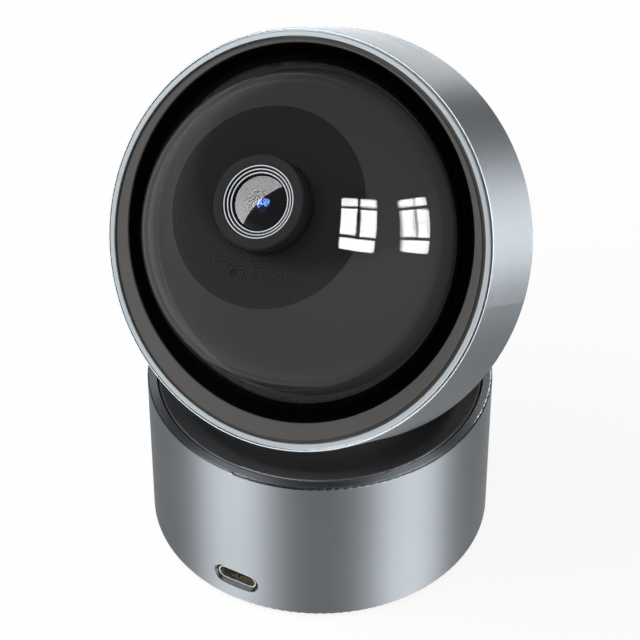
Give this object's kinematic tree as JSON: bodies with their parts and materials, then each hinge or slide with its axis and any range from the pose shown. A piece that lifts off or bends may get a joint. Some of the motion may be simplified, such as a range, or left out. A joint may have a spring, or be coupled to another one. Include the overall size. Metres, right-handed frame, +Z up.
{
  "type": "pan-tilt security camera",
  "caption": "Free-standing indoor camera: a tilting metal drum head with a smoked dome over its lens, seated in a turning bowl on a round metal base with a power socket.",
  "frame": {"origin": "middle of the resting face, on the pan axis", "axes": "+Z up, the lens and the power socket face -Y, the tilt axle runs along X"},
  "size_m": [0.0844, 0.0764, 0.1135],
  "materials": {
    "satin_aluminium": "satin anodised",
    "polished_aluminium": "polished",
    "grey_face": "matte",
    "black_gloss": "gloss",
    "black_matte": "matte",
    "smoked_dome": "clear, smoked",
    "lens_glass": "coated",
    "rubber": "matte",
    "steel": "plain",
    "brass": "plain",
    "acetal": "moulded",
    "board_green": "solder mask",
    "chip_black": "matte",
    "zinc": "cast, painted",
    "lamp_clear": "clear resin"
  },
  "bodies": {
    "base": {"base_shell": "satin_aluminium", "base_floor": "black_matte", "foot_ring": "rubber", "tripod_insert": "brass", "floor_screws": "steel", "main_board": "board_green", "board_components": "chip_black", "usb_socket": "steel", "usb_tongue": "chip_black", "speaker": "chip_black", "speaker_magnet": "steel", "deck_plate": "black_matte", "pan_bush": "acetal", "pan_motor": "steel", "pan_motor_screws": "steel"},
    "turntable": {"turntable_bowl": "black_gloss", "pan_hub": "black_matte", "hub_clip": "steel", "pan_gear": "acetal", "pan_gear_screws": "steel", "neck_arm": "zinc", "neck_screws": "steel", "tilt_gear": "acetal", "tilt_axle": "steel", "axle_clips": "steel"},
    "head": {"head_drum": "satin_aluminium", "trim_ring": "polished_aluminium", "front_bezel": "grey_face", "dome_retainer": "black_matte", "retainer_screws": "steel", "dome_window": "smoked_dome", "lens_shroud": "black_matte", "lens_barrel": "black_matte", "lens_trim": "polished_aluminium", "front_lens": "lens_glass", "inner_lens": "lens_glass", "lens_holder": "black_matte", "image_sensor": "chip_black", "sensor_board": "board_green", "sensor_board_screws": "steel", "infrared_board": "board_green", "infrared_lamps": "lamp_clear", "microphone": "chip_black", "head_chassis": "black_matte", "axle_bushes": "acetal", "tilt_motor": "steel", "tilt_motor_screws": "steel", "rear_cover": "black_gloss", "cover_screws": "steel"},
    "pan_pinion_shaft": {"pan_pinion": "acetal", "pan_motor_shaft": "steel"},
    "tilt_pinion_shaft": {"tilt_pinion": "acetal", "tilt_motor_shaft": "steel"}
  },
  "joints": [
    {"name": "pan", "type": "hinge", "parent": "base", "child": "turntable", "pos_m": [0, 0, 0.0195], "axis": [0, 0, 1], "range_deg": [-170, 170]},
    {"name": "tilt", "type": "hinge", "parent": "turntable", "child": "head", "pos_m": [0, 0, 0.072], "axis": [-1, 0, 0], "range_deg": [-45, 40]},
    {"name": "pan_pinion_spin", "type": "hinge", "parent": "base", "child": "pan_pinion_shaft", "pos_m": [0, 0.022, 0.0219], "axis": [0, 0, 1], "range_deg": [-552, 552]},
    {"name": "tilt_pinion_spin", "type": "hinge", "parent": "head", "child": "tilt_pinion_shaft", "pos_m": [0.0078, 0.01235, 0.08339], "axis": [-1, 0, 0], "range_deg": [-114, 102]}
  ],
  "couplings": [
    {"joint": "pan_pinion_spin", "follows": "pan", "ratio": -3.2308},
    {"joint": "tilt_pinion_spin", "follows": "tilt", "ratio": 2.5}
  ]
}
